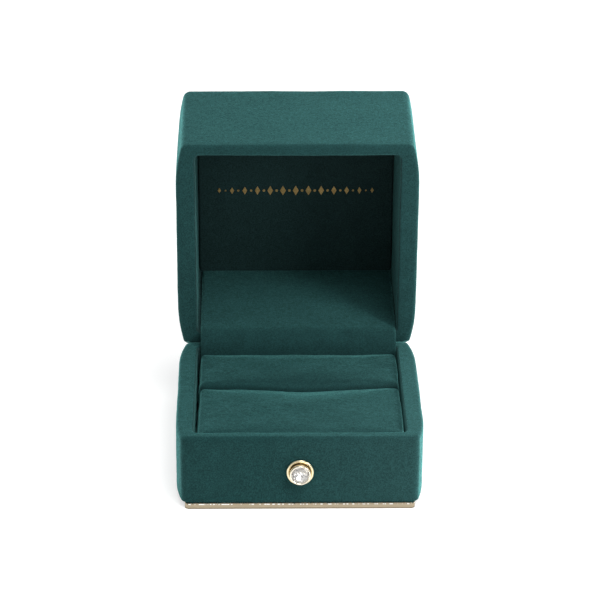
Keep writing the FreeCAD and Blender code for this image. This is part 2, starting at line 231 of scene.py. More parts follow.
def lathe(name, profile, origin, steps=96):
    """Turn (radius, distance towards the front) pairs about the stud's axis."""
    rings = []
    for radius, out in profile:
        angles = np.arange(steps) * 2 * math.pi / steps
        rings.append(np.stack([origin[0] + radius * np.cos(angles),
                               np.full(steps, origin[1] - out),
                               origin[2] + radius * np.sin(angles)], axis=1))
    first = (origin[0], origin[1] - profile[0][1], origin[2])
    last = (origin[0], origin[1] - profile[-1][1], origin[2])
    return link(ring_mesh(name, rings, first, last), name)


def bake_modifiers(piece):
    """Keep what the modifiers make as the piece's plain mesh."""
    graph = bpy.context.evaluated_depsgraph_get()
    mesh = bpy.data.meshes.new_from_object(piece.evaluated_get(graph))
    mesh.name = piece.data.name
    piece.modifiers.clear()
    piece.data = mesh
    return piece


def ruffle(mesh, layers, seed):
    """Push each point along its normal by a sum of noises: (amplitude, size) in millimetres."""
    mesh.update()
    offset = Vector((seed * 3.7, seed * 1.3, seed * 5.1))
    normals = [v.normal.copy() for v in mesh.vertices]
    for vertex, normal in zip(mesh.vertices, normals):
        push = 0.0
        for amplitude, size in layers:
            push += amplitude * MM * noise.noise(vertex.co / (size * MM) + offset)
        vertex.co += normal * push
    mesh.update()
    return mesh


def arc_steps(count):
    """Angles over a quarter turn."""
    return [math.pi / 2 * i / (count - 1) for i in range(count)]


def smooth_step(x):
    """0 to 1, without a corner at either end."""
    x = np.clip(x, 0, 1)
    return x * x * (3 - 2 * x)


# --- the box's plan ------------------------------------------------------------------------

CORNER_POINTS, BOW_POINTS, FACE_POINTS, SIDE_POINTS = 9, 26, 44, 56


class Plan:
    """Outline of the box from above, point for point with the outline of its hollow."""

    def __init__(self, sizes, spread, front_wall):
        low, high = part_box("base_velvet")
        self.front, self.rear = low.y, high.y
        self.sizes = sizes
        self.half_w = sizes.half_w + spread
        self.end_half_w = sizes.end_half_w + spread
        self.hollow_front = self.front + front_wall
        self.hollow_rear = self.rear - sizes.rear_wall
        drop = self.half_w - self.end_half_w
        self.side_radius = [(drop ** 2 + run ** 2) / (2 * drop)
                            for run in (-self.front - sizes.flat_run, self.rear - sizes.flat_run)]
        front = self._half(self.front, self.hollow_front)
        rear = [part[::-1] for part in self._half(self.rear, self.hollow_rear)]
        right = [np.concatenate(parts) for parts in zip(front, self._side(), rear)]
        flip = np.array([-1.0, 1.0])
        self.outer, self.outer_n, self.inner, self.inner_n = (
            np.concatenate([half, (half * flip)[::-1][1:-1]]) for half in right)

    def _curve(self, end_y):
        """Corner rounding, then the curve into the straight side, from the end face inwards."""
        s = self.sizes
        sign = math.copysign(1, end_y)
        start = np.array([self.half_w, sign * s.flat_run])
        radius = self.side_radius[int(sign > 0)]
        centre = start - np.array([radius, 0.0])
        corner_y = end_y - sign * s.corner_r
        reach = radius - s.corner_r
        corner_x = centre[0] + math.sqrt(reach ** 2 - (corner_y - centre[1]) ** 2)
        corner = np.array([corner_x, corner_y])
        tangent = math.atan2(*(corner - centre)[::-1])
        bend = np.linspace(sign * math.pi / 2, tangent, CORNER_POINTS)
        sweep = np.linspace(tangent, 0, BOW_POINTS)[1:]
        around = [corner + s.corner_r * np.array([math.cos(a), math.sin(a)]) for a in bend]
        along = [centre + radius * np.array([math.cos(a), math.sin(a)]) for a in sweep]
        normals = [np.array([math.cos(a), math.sin(a)]) for a in [*bend, *sweep]]
        hollow_end = self.hollow_front if sign < 0 else self.hollow_rear
        hub = np.array([s.cavity_half_w - s.cavity_r, hollow_end - sign * s.cavity_r])
        quarter = np.linspace(sign * math.pi / 2, 0, CORNER_POINTS)
        hollow = [hub + s.cavity_r * np.array([math.cos(a), math.sin(a)]) for a in quarter]
        hollow_n = [np.array([math.cos(a), math.sin(a)]) for a in quarter]
        for point in along:
            share = (point[1] - around[-1][1]) / (start[1] - around[-1][1])
            hollow.append(np.array([s.cavity_half_w, hub[1] + share * (start[1] - hub[1])]))
            hollow_n.append(np.array([1.0, 0.0]))
        return [np.array(a) for a in (around + along, normals, hollow, hollow_n)]

    def _half(self, end_y, hollow_y):
        """The right half of one end, from the middle of its face to the straight side."""
        curve = self._curve(end_y)
        steps = np.linspace(0, 1, FACE_POINTS)[:-1]
        outer = np.stack([steps * curve[0][0][0], np.full_like(steps, end_y)], axis=1)
        inner = np.stack([steps * curve[2][0][0], np.full_like(steps, hollow_y)], axis=1)
        normal = np.tile([0.0, math.copysign(1, end_y)], (len(steps), 1))
        return [np.concatenate(parts) for parts in zip((outer, normal, inner, normal), curve)]

    def _side(self):
        """The straight run of the right side, without its ends."""
        s = self.sizes
        y = np.linspace(-s.flat_run, s.flat_run, SIDE_POINTS)[1:-1]
        normal = np.tile([1.0, 0.0], (len(y), 1))
        outer = np.stack([np.full(len(y), self.half_w), y], axis=1)
        inner = np.stack([np.full(len(y), s.cavity_half_w), y], axis=1)
        return outer, normal, inner, normal

    def out(self, inset, z):
        """Ring on the outer outline, moved in by inset. Both may vary round the ring. Where the
        inset passes the corner's rounding, the corner keeps a radius of corner_keep."""
        keep, run = self.sizes.corner_keep, self.sizes.flat_run
        deep = np.broadcast_to(inset, len(self.outer)) + keep
        z = np.broadcast_to(z, len(self.outer))[:, None]
        x, y = (self.outer - self.outer_n * deep[:, None]).T
        side = np.where(self.outer[:, 0] < 0, -1.0, 1.0)
        rear = self.outer[:, 1] > 0
        end = np.where(rear, self.rear - deep, self.front + deep)
        radius = np.where(rear, *self.side_radius[::-1])

        def side_x(at):
            past = np.maximum(np.abs(at) - run, 0.0)
            return self.half_w - radius + np.sqrt((radius - deep) ** 2 - past ** 2)

        past_end = (np.abs(y) > np.abs(end) + 1e-7) & (np.abs(self.outer_n[:, 1]) < 0.9999)
        y = np.where(past_end, end, y)
        x = side * np.where(past_end, side_x(end), np.minimum(np.abs(x), side_x(y)))
        return np.hstack([np.stack([x, y], axis=1) + self.outer_n * keep, z])

    def well(self, into_wall, z):
        """Ring on the hollow's outline, moved into the wall."""
        points = self.inner + self.inner_n * into_wall
        return np.hstack([points, np.full((len(points), 1), z)])

    def rear_share(self):
        """1 on the rear face, 0 elsewhere, with a soft change at its corners."""
        return smooth_step((self.outer_n[:, 1] - 0.35) / 0.4)


def rim_rings(plan, rim_z, up):
    """The roll over the rim, from the outer wall to the hollow. up is +1 if the rim faces up.
    The rear is bevelled, so that the walls clear each other when the lid is open."""
    s = plan.sizes
    rear = plan.rear_share()
    bevel_in, bevel_down = 1.35 * MM, 1.5 * MM
    rings = []
    for turn in arc_steps(9):
        share = turn / (math.pi / 2)
        inset = s.rim_out_r * (1 - math.cos(turn)) * (1 - rear) + bevel_in * share * rear
        drop = s.rim_out_r * (1 - math.sin(turn)) * (1 - rear) + bevel_down * (1 - share) * rear
        rings.append(plan.out(inset, rim_z - up * drop))
    outer_end = rings[-1]
    inner_start = plan.well(s.rim_in_r, rim_z)
    rings += [outer_end + (inner_start - outer_end) * share for share in (0.25, 0.5, 0.75)]
    for turn in arc_steps(8):
        into = s.rim_in_r * (1 - math.sin(turn))
        rings.append(plan.well(into, rim_z - up * s.rim_in_r * (1 - math.cos(turn))))
    return rings


def wall_levels(start, end, spacing):
    """Heights between two ends, without the ends."""
    steps = max(2, round(abs(end - start) / spacing))
    return list(np.linspace(start, end, steps + 1))[1:-1]


def hinge_cutter(name):
    """What both velvets leave clear for the hinge barrel."""
    s = bpy.context.scene.ring_box_sizes
    low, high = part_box("hinge_pin")
    reach = high.x + 0.2 * MM
    steps = 48
    angles = np.arange(steps) * 2 * math.pi / steps
    rings = [np.stack([np.full(steps, x), PIVOT.y + s.groove_r * np.cos(angles),
                       PIVOT.z + s.groove_r * np.sin(angles)], axis=1) for x in (-reach, reach)]
    poles = [(x, PIVOT.y, PIVOT.z) for x in (-reach, reach)]
    return link(ring_mesh(name, rings, *poles), name)


def cut_hinge_groove(piece):
    cutter = hinge_cutter("hinge_cutter")
    cut = piece.modifiers.new("groove", "BOOLEAN")
    cut.operation = "DIFFERENCE"
    cut.solver = "EXACT"
    cut.object = cutter
    bake_modifiers(piece)
    bpy.data.objects.remove(cutter)
    return piece


# --- node trees and materials ----------------------------------------------------------------

def add_node(tree, kind, settings=None, values=None, links=None):
    """One node: its own settings, values for its inputs, and links into its inputs, each from
    a socket or from the first output of a node."""
    node = tree.nodes.new(kind)
    for key, value in (settings or {}).items():
        setattr(node, key, value)
    for key, value in (values or {}).items():
        node.inputs[key].default_value = value
    for key, source in (links or {}).items():
        socket = source.outputs[0] if isinstance(source, bpy.types.Node) else source
        tree.links.new(socket, node.inputs[key])
    return node


# sockets whose names repeat: of a Map Range on vectors, and of a Mix of colours
VECTOR_FROM, VECTOR_TO, VECTOR_LOW, VECTOR_HIGH = 7, 8, 9, 10
MIX_A, MIX_B, MIX_RESULT = 6, 7, 2


def new_material(name, values):
    """A material with one Principled shader; returns the material, its tree and the shader."""
    material = bpy.data.materials.new(name)
    material.use_nodes = True
    tree = material.node_tree
    tree.nodes.clear()
    shader = add_node(tree, "ShaderNodeBsdfPrincipled", values=values)
    add_node(tree, "ShaderNodeOutputMaterial", links={"Surface": shader})
    return material, tree, shader


def per_mm(size):
    """Noise scale that gives features about size millimetres across."""
    return 1 / (size * MM)


def grained(name, rgb, values, grain, tones, relief, stretch=(1, 1, 1)):
    """A material with one grain, which shows in its colour and its relief. grain is its size in
    millimetres and its detail, tones the darkest and palest factor on the colour, and relief
    the height in millimetres and the strength."""
    material, tree, shader = new_material(name, values)
    place = add_node(tree, "ShaderNodeTexCoord").outputs["Object"]
    along = add_node(tree, "ShaderNodeMapping", values={"Scale": stretch}, links={"Vector": place})
    pattern = add_node(tree, "ShaderNodeTexNoise", links={"Vector": along},
                       values={"Scale": per_mm(grain[0]), "Detail": grain[1], "Roughness": 0.55})
    factor = add_node(tree, "ShaderNodeMapRange", links={"Value": pattern},
                      values={"From Min": 0.3, "From Max": 0.7, "To Min": tones[0], "To Max": tones[1]})
    colour_out = add_node(tree, "ShaderNodeVectorMath", {"operation": "SCALE"}, {0: rgb},
                          {"Scale": factor})
    raised = add_node(tree, "ShaderNodeBump", links={"Height": pattern},
                      values={"Distance": relief[0] * MM, "Strength": relief[1]})
    tree.links.new(colour_out.outputs[0], shader.inputs["Base Color"])
    tree.links.new(raised.outputs[0], shader.inputs["Normal"])
    return material


def cut_pile_velvet(name, rgb, contrast, shine, painted_left_shade):
    """Cut-pile polyester velvet, dyed: it looks matt, dark looking straight in, and pale where
    the pile is seen from the side. The pile leans in soft patches a few millimetres across.
    Painted light: the colour grows paler and warmer, and the sheen stronger, from left to
    right, as if lit from the right. The last argument is what is left of the colour on the
    far left."""
    material, tree, shader = new_material(name, {
        "Roughness": 0.92, "Specular IOR Level": 0.08, "IOR": 1.45,
        "Sheen Roughness": 0.45, "Sheen Tint": (0.25, 0.80, 0.77, 1.0)})
    place = add_node(tree, "ShaderNodeTexCoord").outputs["Object"]
    # tufts are about 0.15 mm apart; drawn at twice that, so that they show. They stand in
    # clumps of four or five, some of which catch more light
    lean, patches, tufts, clumps = [
        add_node(tree, "ShaderNodeTexNoise", links={"Vector": place},
                 values={"Scale": per_mm(size), "Detail": detail, "Roughness": 0.55})
        for size, detail in ((5.0, 2.0), (1.6, 2.0), (0.30, 3.0), (0.75, 2.0))]
    # painted light: share of the way from left to right, which makes the velvet paler towards the right
    across = add_node(tree, "ShaderNodeSeparateXYZ", links={"Vector": place}).outputs["X"]
    right_light_share = add_node(tree, "ShaderNodeMapRange", links={"Value": across},
                       values={"From Min": -32 * MM, "From Max": 32 * MM})
    # lift is painted sheen that grows from left to right, with the painted light from the right
    depth, spots, grain, lift, lit = [
        add_node(tree, "ShaderNodeMapRange", links={"Value": source},
                 values={"From Min": start, "From Max": end, "To Min": low, "To Max": high})
        for source, start, end, low, high in (
            (lean, 0.3, 0.7, 1 - contrast, 1 + contrast), (patches, 0.3, 0.7, 1 - contrast, 1.0),
            (tufts, 0.38, 0.62, 0.6, 1.0), (right_light_share, 0.0, 1.0, shine * 0.92, shine * 1.12),
            (clumps, 0.35, 0.65, 0.78, 1.22))]
    for factor in (spots, grain):
        depth = add_node(tree, "ShaderNodeMath", {"operation": "MULTIPLY"}, links={0: depth, 1: factor})
    bloom = tufts
    for factor in (lift, lit):
        bloom = add_node(tree, "ShaderNodeMath", {"operation": "MULTIPLY"}, links={0: bloom, 1: factor})
    # painted light from the right: on the far left the colour keeps only the last argument's share, and
    # less of its red
    side_light_tint = add_node(tree, "ShaderNodeMapRange", {"data_type": "FLOAT_VECTOR"},
                   {VECTOR_FROM: (0.35,) * 3, VECTOR_TO: (1.0,) * 3, VECTOR_HIGH: (1.0,) * 3,
                    VECTOR_LOW: (1.7 * painted_left_shade - 0.7, painted_left_shade, painted_left_shade)}, {"Vector": right_light_share})
    even = add_node(tree, "ShaderNodeVectorMath", {"operation": "SCALE"}, {0: rgb}, {"Scale": depth})
    dyed = add_node(tree, "ShaderNodeVectorMath", {"operation": "MULTIPLY"},
                    links={0: even, 1: side_light_tint.outputs["Vector"]})
    soft = add_node(tree, "ShaderNodeBump", values={"Distance": 0.12 * MM, "Strength": 0.35},
                    links={"Height": patches})
    pile = add_node(tree, "ShaderNodeBump", values={"Distance": 0.10 * MM, "Strength": 0.6},
                    links={"Height": tufts, "Normal": soft})
    for socket, source in (("Base Color", dyed), ("Sheen Weight", bloom), ("Normal", pile)):
        tree.links.new(source.outputs[0], shader.inputs[socket])
    return material


def plate_gilt(name, rgb, low, high):
    """Gilt strip, belted along its length between the heights low and high: it looks satin and
    finely streaked. Painted shade darkens its lower edge, a painted shadow of the pile its upper
    edge, and just below that painted glints show in dashes."""
    material, tree, shader = new_material(name, {"Metallic": 1.0, "Roughness": 0.34})
    place = add_node(tree, "ShaderNodeTexCoord").outputs["Object"]
    streaks, glint_noise = [
        add_node(tree, "ShaderNodeTexNoise",
                 values={"Scale": per_mm(size), "Detail": detail, "Roughness": 0.55},
                 links={"Vector": add_node(tree, "ShaderNodeMapping", values={"Scale": stretch},
                                           links={"Vector": place})})
        for size, detail, stretch in ((0.12, 3.0, (0.03, 1.0, 1.0)), (0.7, 1.0, (1.0, 0.05, 0.05)))]
    z = add_node(tree, "ShaderNodeSeparateXYZ", links={"Vector": place}).outputs["Z"]
    height = add_node(tree, "ShaderNodeMapRange", values={"From Min": low, "From Max": high},
                      links={"Value": z})
    # foot is painted shade along the lower edge, head the painted shadow of the pile along the top edge;
    # over, under and dashes place the painted glints
    belted, foot, head, over, under, dashes = [
        add_node(tree, "ShaderNodeMapRange", links={"Value": source},
                 values={"From Min": start, "From Max": end, "To Min": first, "To Max": last})
        for source, start, end, first, last in (
            (streaks, 0.3, 0.7, 0.86, 1.06), (height, 0.12, 0.30, 0.55, 1.0),
            (height, 0.90, 0.97, 1.0, 0.30), (height, 0.70, 0.76, 0.0, 1.0),
            (height, 0.91, 0.86, 0.0, 1.0), (glint_noise, 0.50, 0.60, 0.0, 1.0))]
    shade, painted_glints = belted, over
    for factor in (foot, head):
        shade = add_node(tree, "ShaderNodeMath", {"operation": "MULTIPLY"}, links={0: shade, 1: factor})
    for factor in (under, dashes):
        painted_glints = add_node(tree, "ShaderNodeMath", {"operation": "MULTIPLY"}, links={0: painted_glints, 1: factor})
    shaded_gilt = add_node(tree, "ShaderNodeVectorMath", {"operation": "SCALE"}, {0: rgb}, {"Scale": shade})
    # painted glints: the colour turns near white in dashes just below the top edge
    metal = add_node(tree, "ShaderNodeMix", {"data_type": "RGBA"}, {MIX_B: (1.0, 1.0, 0.97, 1.0)},
                     {0: painted_glints, MIX_A: shaded_gilt})
    raised = add_node(tree, "ShaderNodeBump", values={"Distance": 0.01 * MM, "Strength": 0.25},
                      links={"Height": streaks})
    tree.links.new(metal.outputs[MIX_RESULT], shader.inputs["Base Color"])
    tree.links.new(raised.outputs[0], shader.inputs["Normal"])
    return material


def rolled_steel(name, rgb):
    """Cold-rolled strip: a bright grey with fine streaks along the box's width."""
    return grained(name, rgb, {"Metallic": 1.0, "Roughness": 0.3}, (0.08, 3.0), (0.86, 1.06),
                   (0.01, 0.3), (0.03, 1, 1))


def polished_gilt(name, rgb, roughness):
    """Electroplated and polished: it mirrors its surroundings, a little unevenly, as small
    pressed parts do."""
    return grained(name, rgb, {"Metallic": 1.0, "Roughness": roughness}, (0.9, 2.0), (0.92, 1.03),
                   (0.02, 0.2))


def hot_foil(name, rgb):
    """Hot-stamped foil on pile: bright, with the pile's grain showing through."""
    return grained(name, rgb, {"Metallic": 1.0, "Roughness": 0.38}, (0.4, 3.0), (0.7, 1.1), (0.05, 0.5))


def moulded_plastic(name, rgb):
    """Injection-moulded polystyrene: half matt, with a fine spark texture."""
    return grained(name, rgb, {"Roughness": 0.55, "IOR": 1.59}, (0.3, 2.0), (0.85, 1.1), (0.03, 0.3))


def pressed_board(name, rgb):
    """Greyboard: matt, pressed from waste paper with dark and pale fibres."""
    return grained(name, rgb, {"Roughness": 0.9, "Specular IOR Level": 0.2}, (0.5, 5.0), (0.65, 1.2),
                   (0.05, 0.4), (1, 0.4, 1))


def cut_crystal(name):
    """Lead crystal, cut and polished: clear, with sharp bright facets."""
    return new_material(name, {"Base Color": (0.98, 0.98, 1.0, 1.0), "Roughness": 0.01, "IOR": 1.55,
                               "Transmission Weight": 1.0})[0]


def silvering(name):
    """Silver foil on the back of the stone: throws the light back through the facets."""
    return new_material(name, {"Base Color": (1.0, 0.99, 0.96, 1.0), "Metallic": 0.5,
                               "Roughness": 0.06})[0]


def paint(piece, *materials):
    """Give a piece its materials. With several, its faces keep their choice among them."""
    polygons = piece.data.polygons
    chosen = [polygon.material_index for polygon in polygons]
    piece.data.materials.clear()
    for material in materials:
        piece.data.materials.append(material)
    if len(materials) > 1:
        polygons.foreach_set("material_index", chosen)
    return piece


def velvet():
    """The covering's velvet on the base."""
    colours = bpy.context.scene.ring_box_colours
    # the base's velvet gets the strongest painted light from the right: only 0.74 of its colour is left on
    # the far left
    return (bpy.data.materials.get("cut_pile_velvet")
            or cut_pile_velvet("cut_pile_velvet", colours.velvet, 0.09, 1.2, 0.74))


def lid_pile():
    """The covering's velvet on the lid and the flap, with less of the painted light from the right."""
    colours = bpy.context.scene.ring_box_colours
    return (bpy.data.materials.get("cut_pile_velvet_lid")
            or cut_pile_velvet("cut_pile_velvet_lid", colours.lid_velvet, 0.09, 1.2, 0.92))


def lining():
    """The same velvet, duller: its lower sheen is painted shade on the faces inside the hollows. It also
    has a little of the painted light from the right.
    """
    colours = bpy.context.scene.ring_box_colours
    return (bpy.data.materials.get("velvet_with_painted_shade")
            or cut_pile_velvet("velvet_with_painted_shade", colours.lining_velvet, 0.05, 0.45, 0.85))


def new_tree(name, inputs):
    """A Geometry Nodes tree with named inputs; returns it and its inputs' sockets."""
    tree = bpy.data.node_groups.new(name, "GeometryNodeTree")
    tree.interface.new_socket("Geometry", in_out="OUTPUT", socket_type="NodeSocketGeometry")
    for label, kind, default in inputs:
        socket = tree.interface.new_socket(label, in_out="INPUT", socket_type=kind)
        socket.default_value = default
    return tree, add_node(tree, "NodeGroupInput").outputs


def point_row(tree, start):
    """Points in a row along X, as far as Half Width each way."""
    left = add_node(tree, "ShaderNodeMath", {"operation": "MULTIPLY"}, {1: -1.0},
                    {0: start["Half Width"]})
    ends = [add_node(tree, "ShaderNodeCombineXYZ", links={"X": x}) for x in (left, start["Half Width"])]
    return add_node(tree, "GeometryNodeMeshLine", {"mode": "END_POINTS"},
                    links={"Count": start["Count"], "Start Location": ends[0], "Offset": ends[1]})


def end_tree(tree, grown, material):
    """Turn instances into real geometry, dress it and hand it out."""
    real = add_node(tree, "GeometryNodeRealizeInstances", links={0: grown})
    dressed = add_node(tree, "GeometryNodeSetMaterial", values={"Material": material},
                       links={"Geometry": real})
    add_node(tree, "NodeGroupOutput", links={0: dressed})
    return tree


def grow(name, tree, inputs):
    """Run a tree and keep its result as a plain mesh."""
    piece = link(bpy.data.meshes.new(name), name)
    modifier = piece.modifiers.new("tree", "NODES")
    modifier.node_group = tree
    sockets = {item.name: item.identifier for item in tree.interface.items_tree
               if item.item_type == "SOCKET" and item.in_out == "INPUT"}
    for label, value in inputs.items():
        modifier[sockets[label]] = value
    return bake_modifiers(piece)


# --- velvet covering -----------------------------------------------------------------------

OUTER_STEP, HOLLOW_STEP = 0.8 * MM, 1.1 * MM
# rings at the end of the rim's roll that already have the inside's duller velvet, with its painted shade
LINED_ROLL = 5
# the rear wall's last ring lies this much lower, because its bevel starts lower than the roll
REAR_LOWER = 0.35 * MM


def base_wrap():
    """Velvet of the base: up the outside, over the rim and down the inside, in one piece."""
    s = bpy.context.scene.ring_box_sizes
    plan = Plan(s, s.base_spread, s.front_wall)
    low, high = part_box("base_velvet")
    floor_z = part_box("pad_board")[0].z
    t = s.velvet_t
    # foot and outside
    rings = [plan.out(t, low.z), plan.out(s.foot_r, low.z)]
    rings += [plan.out(s.foot_r * (1 - math.sin(a)), low.z + s.foot_r * (1 - math.cos(a)))
              for a in arc_steps(6)[1:]]
    rear = plan.rear_share()
    top = high.z - s.rim_out_r
    for z in wall_levels(low.z + s.foot_r, top, OUTER_STEP):
        share = (z - low.z) / (top - low.z)
        rings.append(plan.out(0.0, z - rear * share * REAR_LOWER))
    # rim and hollow
    rings += rim_rings(plan, high.z, 1.0)
    inside = len(rings) - LINED_ROLL
    rings += [plan.well(0.0, z) for z in wall_levels(high.z - s.rim_in_r, floor_z, HOLLOW_STEP)]
    rings += [plan.well(0.0, floor_z), plan.well(t, floor_z)]
    foot = len(rings)
    # back of the covering, up the hollow's side and down to the foot
    rings += [plan.well(t, z) for z in wall_levels(floor_z, high.z - t, 3 * MM)]
    rings += [plan.well(t, high.z - 1.4 * t), plan.out(1.8 * t, high.z - 1.4 * t)]
    rings += [plan.out(t, z) for z in wall_levels(high.z - 2.2 * t, low.z, 3 * MM)]
    piece = link(ring_mesh("base_velvet_wrap", rings, looped=True, lined=(inside, foot)),
                 "base_velvet_wrap")
    paint(piece, velvet(), lining())
    ruffle(piece.data, [(0.10, 9.0), (0.035, 1.7)], 1)
    cut_hinge_groove(piece)
    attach(piece, BASE_BODY)
    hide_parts("base_velvet")


def lid_wrap():
    """Velvet of the lid: over the top, down the outside, round the rim and up the inside."""
    s = bpy.context.scene.ring_box_sizes
    plan = Plan(s, s.lid_spread, s.lid_front_wall)
    low, high = shut_box("lid_velvet")
    rim_z, top_z = low[2], high[2]
    roof_z = shut_box("lid_roof_card")[1][2]
    t = s.velvet_t
    # top and outside
    middle = np.array([0.0, 0.0, top_z])
    edge = plan.out(s.lid_top_r, top_z)
    rings = [middle + (edge - middle) * share for share in np.linspace(0.06, 1, 22)]
    rings += [plan.out(s.lid_top_r * (1 - math.sin(a)), top_z - s.lid_top_r * (1 - math.cos(a)))
              for a in arc_steps(12)[1:]]
    under = top_z - s.lid_top_r
    rings += [plan.out(0.0, z) for z in wall_levels(under, rim_z + s.rim_out_r, OUTER_STEP)]
    # rim and hollow
    rings += rim_rings(plan, rim_z, -1.0)
    inside = len(rings) - LINED_ROLL
    rings += [plan.well(0.0, z) for z in wall_levels(rim_z + s.rim_in_r, roof_z, HOLLOW_STEP)]
    rings += [plan.well(0.0, roof_z), plan.well(t, roof_z)]
    head = len(rings)
    # back of the covering, down the hollow's side and up to the top
    rings += [plan.well(t, z) for z in wall_levels(roof_z, rim_z + t, 4 * MM)]
    rings += [plan.well(t, rim_z + 1.4 * t), plan.out(1.8 * t, rim_z + 1.4 * t)]
    rings += [plan.out(t, z) for z in wall_levels(rim_z + 2.2 * t, under, 4 * MM)]
    inner_r = s.lid_top_r - t
    rings += [plan.out(t + inner_r * (1 - math.cos(a)), under + inner_r * math.sin(a))
              for a in arc_steps(6)]
    last = rings[-1]
    middle_in = np.array([0.0, 0.0, top_z - t])
    rings += [middle_in + (last - middle_in) * share for share in (0.7, 0.4, 0.1)]
    rings = [opened(ring) for ring in rings]
    poles = opened([middle, middle_in])
    piece = link(ring_mesh("lid_velvet_wrap", rings, poles[0], poles[1], lined=(inside, head)),
                 "lid_velvet_wrap")
    paint(piece, lid_pile(), lining())
    ruffle(piece.data, [(0.12, 11.0), (0.035, 1.7)], 2)
    cut_hinge_groove(piece)
    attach(piece, LID_BODY)
    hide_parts("lid_velvet")


class RINGBOX_OT_wraps(Operator):
    """Make the velvet covering of the base and the lid"""
    bl_idname = "ringbox.wraps"
    bl_label = "Velvet Covering"

    def execute(self, context):
        base_wrap()
        lid_wrap()
        return {"FINISHED"}


# --- ring pads -----------------------------------------------------------------------------

SIM_SCALE = 10.0
SIM_VOXEL = 6 * MM
SIM_FRAMES = 20
SIM_CAP = 2.5 * MM
# share of the pad's height that is glued into its seat
SIM_GLUED = 0.3


def pad_blank(name, low, high):
    """Rounded block, ten times real size, remeshed evenly for the cloth."""
    size = (high - low) * SIM_SCALE
    centre = (high + low) / 2 * SIM_SCALE
    bm = bmesh.new()
    place = Matrix.Translation(centre) @ Matrix.Diagonal((*size, 1.0))
    bmesh.ops.create_cube(bm, size=1.0, matrix=place)
    bmesh.ops.bevel(bm, geom=bm.edges[:], offset=1.0 * MM * SIM_SCALE, segments=5, profile=0.5,
                    affect="EDGES", clamp_overlap=True)
    mesh = bpy.data.meshes.new(name)
    bm.to_mesh(mesh)
    bm.free()
    blank = link(mesh, name)
    remesh = blank.modifiers.new("even", "REMESH")
    remesh.mode = "VOXEL"
    remesh.voxel_size = SIM_VOXEL
    return bake_modifiers(blank)


def inflate(blank, low, high):
    """Cloth under light inner pressure, glued along its lower edge; swelling is capped."""
    rest = points_of(blank.data)
    glue_line = (low.z + SIM_GLUED * (high.z - low.z)) * SIM_SCALE
    group = blank.vertex_groups.new(name="glued")
    group.add([i for i, point in enumerate(rest) if point[2] < glue_line], 1.0, "REPLACE")
    cloth = blank.modifiers.new("cloth", "CLOTH")
    cloth.settings.quality = 5
    cloth.settings.mass = 0.3
    cloth.settings.tension_stiffness = 12
    cloth.settings.compression_stiffness = 12
    cloth.settings.shear_stiffness = 4
    cloth.settings.bending_stiffness = 0.8
    cloth.settings.use_pressure = True
    cloth.settings.uniform_pressure_force = 4
    cloth.settings.effector_weights.gravity = 0
    cloth.settings.vertex_group_mass = group.name
    cloth.point_cache.frame_start = 1
    cloth.point_cache.frame_end = SIM_FRAMES
    for step in range(1, SIM_FRAMES + 1):
        bpy.context.scene.frame_set(step)
    bake_modifiers(blank)
    push = points_of(blank.data) - rest
    reach = np.linalg.norm(push, axis=1)[:, None]
    push *= np.minimum(1.0, SIM_CAP / np.maximum(reach, 1e-9))
    move_points(blank.data, rest + push)
    bpy.context.scene.frame_set(1)


# how much wider the covered pad is than its block, and how far it may bulge into the slot
PAD_FULLER = 1.012
SLOT_BULGE = 0.42 * MM


def ring_pad(name, nodes, slot_side, seed):
    """One half of the ring pad. slot_side is +1 if the ring slot is at its rear end."""
    s = bpy.context.scene.ring_box_sizes
    colours = bpy.context.scene.ring_box_colours
    low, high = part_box(nodes[0])
    side = s.cavity_half_w - 0.25 * MM
    blank = pad_blank(name, low, high)
    inflate(blank, low, high)
    x, y, z = (points_of(blank.data) / SIM_SCALE).T
    x = np.clip(x * PAD_FULLER + s.pad_offset, -side, side)
    slot_y = high.y if slot_side > 0 else low.y
    stop = slot_y + slot_side * SLOT_BULGE
    y = np.minimum(y, stop) if slot_side > 0 else np.maximum(y, stop)
    # worn down along the slot, most where the finger takes the ring
    height = smooth_step((z - low.z) / (high.z - low.z))
    near = np.exp(-((y - slot_y) / (5.5 * MM)) ** 2)
    middle = np.exp(-((x - 2 * MM) / (12 * MM)) ** 2)
    z = z - height * near * (0.25 * MM + s.slot_dip * middle)
    move_points(blank.data, np.stack([x, y, z], axis=1))
    smooth = blank.modifiers.new("fine", "SUBSURF")
    smooth.levels = smooth.render_levels = 1
    bake_modifiers(blank)
    tidy_mesh(blank.data)
    ruffle(blank.data, [(0.20, 8.0), (0.04, 2.6), (0.02, 1.0)], seed)
    # the pads' pile has the painted light from the right too: 0.78 of its colour is left on the far left
    pile = (bpy.data.materials.get("cut_pile_velvet_pad")
            or cut_pile_velvet("cut_pile_velvet_pad", colours.pad_velvet, 0.08, 1.0, 0.78))
    paint(blank, pile)
    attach(blank, BASE_BODY)
    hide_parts(*nodes)


class RINGBOX_OT_pads(Operator):
    """Make the two halves of the ring pad by cloth simulation"""
    bl_idname = "ringbox.pads"
    bl_label = "Ring Pads"

    def execute(self, context):
        ring_pad("ring_pad_front", ["pad_front_cover", "pad_front_foam"], 1.0, 3)
        ring_pad("ring_pad_rear", ["pad_rear_cover", "pad_rear_foam"], -1.0, 4)
        return {"FINISHED"}


# --- hinge flap ----------------------------------------------------------------------------

FLAP_T = 0.7 * MM
# how far past the lid's rim the flap is glued again, and how far it goes behind the lining panel
FLAP_LANDING, FLAP_TUCK = 1.2 * MM, 1.2 * MM


